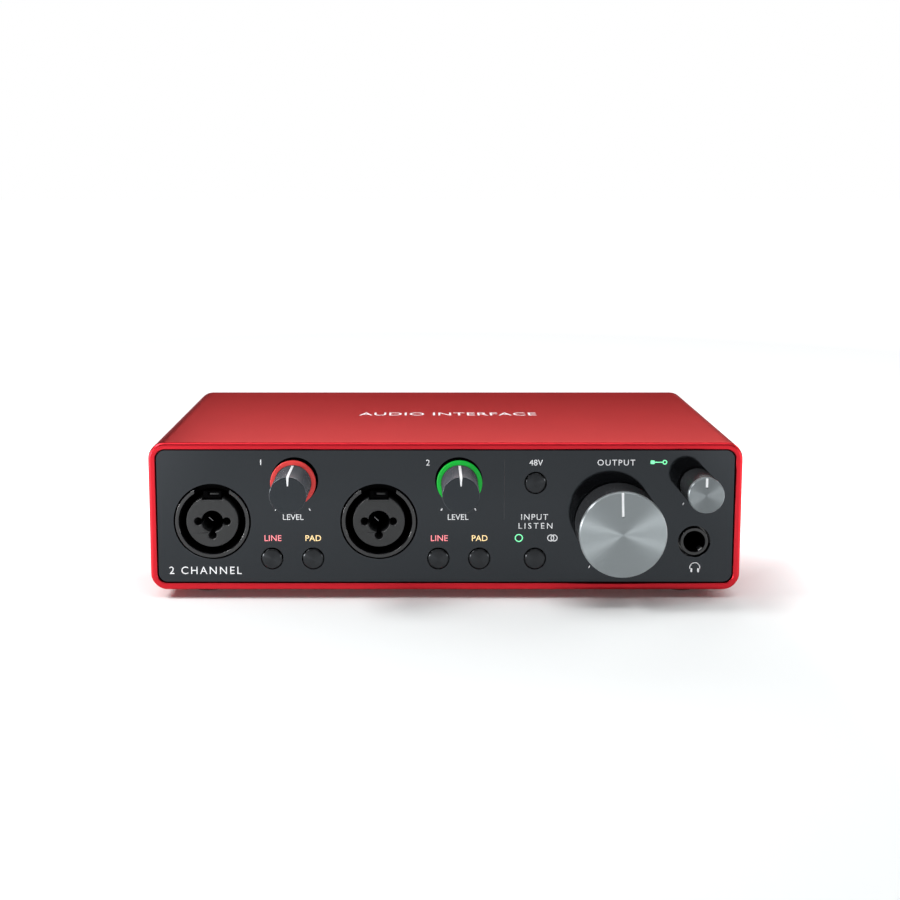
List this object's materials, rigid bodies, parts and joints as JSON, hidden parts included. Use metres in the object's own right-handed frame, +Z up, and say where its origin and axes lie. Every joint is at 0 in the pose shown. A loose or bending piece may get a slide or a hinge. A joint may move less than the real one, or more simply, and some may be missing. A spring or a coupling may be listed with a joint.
{
  "type": "audio interface",
  "caption": "Desktop audio interface: red metal sleeve, glossy black front with mic/jack sockets, lit gain knobs, a large monitor knob, buttons and a headphone socket.",
  "frame": {"origin": "bottom centre of the whole object's box, on the surface that the feet stand on", "axes": "+X to the right seen from the front, -Y to the front, +Z up"},
  "size_m": [0.175, 0.0986, 0.0475],
  "materials": {
    "red_anodised": "satin anodised, red",
    "gloss_black": "glossy black",
    "matte_black": "matte black moulding",
    "core_plastic": "dark grey moulding",
    "knob_plastic": "dark grey satin",
    "white_inlay": "white inlay",
    "halo_red": "translucent light ring, lit red",
    "halo_green": "translucent light ring, lit green",
    "turned_aluminium": "spun, bright",
    "dark_metal": "dark spun-metal look",
    "steel": "plain steel",
    "board": "circuit board",
    "rubber": "matte"
  },
  "bodies": {
    "case": {"case_sleeve": "red_anodised", "front_panel": "gloss_black", "rear_panel": "matte_black", "combo_housing_1": "matte_black", "combo_housing_2": "matte_black", "combo_key_1": "matte_black", "combo_key_2": "matte_black", "gain_collar_1": "matte_black", "gain_collar_2": "matte_black", "phones_jack": "matte_black", "line_out_jack_left": "matte_black", "line_out_jack_right": "matte_black", "board_header": "matte_black", "usb_tongue": "matte_black", "inst_switch_1": "matte_black", "inst_switch_2": "matte_black", "pad_switch_1": "matte_black", "pad_switch_2": "matte_black", "phantom_switch": "matte_black", "direct_switch": "matte_black", "combo_core_1": "core_plastic", "combo_core_2": "core_plastic", "gain_halo_1": "halo_red", "gain_halo_2": "halo_green", "chassis_tray": "steel", "rear_screw_1": "steel", "rear_screw_2": "steel", "rear_screw_3": "steel", "rear_screw_4": "steel", "usb_port": "steel", "gain_pot_1": "steel", "gain_pot_2": "steel", "monitor_pot": "steel", "phones_pot": "steel", "main_board": "board", "front_board": "board", "foot_front_left": "rubber", "foot_front_right": "rubber", "foot_rear_left": "rubber", "foot_rear_right": "rubber"},
    "gain_knob_group_1": {"gain_knob_1": "knob_plastic", "gain_pointer_1": "white_inlay", "gain_shaft_1": "steel"},
    "gain_knob_group_2": {"gain_knob_2": "knob_plastic", "gain_pointer_2": "white_inlay", "gain_shaft_2": "steel"},
    "monitor_knob_group": {"monitor_knob": "matte_black", "monitor_knob_cap": "turned_aluminium", "monitor_shaft": "steel"},
    "phones_knob_group": {"phones_knob": "matte_black", "phones_knob_cap": "turned_aluminium", "phones_shaft": "steel"},
    "inst_button_1_body": {"inst_button_1": "dark_metal"},
    "inst_button_2_body": {"inst_button_2": "dark_metal"},
    "pad_button_1_body": {"pad_button_1": "dark_metal"},
    "pad_button_2_body": {"pad_button_2": "dark_metal"},
    "phantom_button_body": {"phantom_button": "dark_metal"},
    "direct_button_body": {"direct_button": "dark_metal"}
  },
  "joints": [
    {"name": "gain_1_turn", "type": "hinge", "parent": "case", "child": "gain_knob_group_1", "pos_m": [-0.04465, -0.0329, 0.0359], "axis": [0, 1, 0], "range_deg": [-150, 150]},
    {"name": "gain_2_turn", "type": "hinge", "parent": "case", "child": "gain_knob_group_2", "pos_m": [0.0041, -0.0329, 0.0359], "axis": [0, 1, 0], "range_deg": [-150, 150]},
    {"name": "monitor_turn", "type": "hinge", "parent": "case", "child": "monitor_knob_group", "pos_m": [0.0506, -0.0329, 0.0233], "axis": [0, 1, 0], "range_deg": [-150, 150]},
    {"name": "phones_turn", "type": "hinge", "parent": "case", "child": "phones_knob_group", "pos_m": [0.0738, -0.0329, 0.0351], "axis": [0, 1, 0], "range_deg": [-150, 150]},
    {"name": "inst_1_press", "type": "slide", "parent": "case", "child": "inst_button_1_body", "axis": [0, 1, 0], "range_m": [0, 0.0008], "stiffness_N_per_m": 600},
    {"name": "inst_2_press", "type": "slide", "parent": "case", "child": "inst_button_2_body", "axis": [0, 1, 0], "range_m": [0, 0.0008], "stiffness_N_per_m": 600},
    {"name": "pad_1_press", "type": "slide", "parent": "case", "child": "pad_button_1_body", "axis": [0, 1, 0], "range_m": [0, 0.0008], "stiffness_N_per_m": 600},
    {"name": "pad_2_press", "type": "slide", "parent": "case", "child": "pad_button_2_body", "axis": [0, 1, 0], "range_m": [0, 0.0008], "stiffness_N_per_m": 600},
    {"name": "phantom_press", "type": "slide", "parent": "case", "child": "phantom_button_body", "axis": [0, 1, 0], "range_m": [0, 0.0008], "stiffness_N_per_m": 600},
    {"name": "direct_press", "type": "slide", "parent": "case", "child": "direct_button_body", "axis": [0, 1, 0], "range_m": [0, 0.0008], "stiffness_N_per_m": 600}
  ]
}
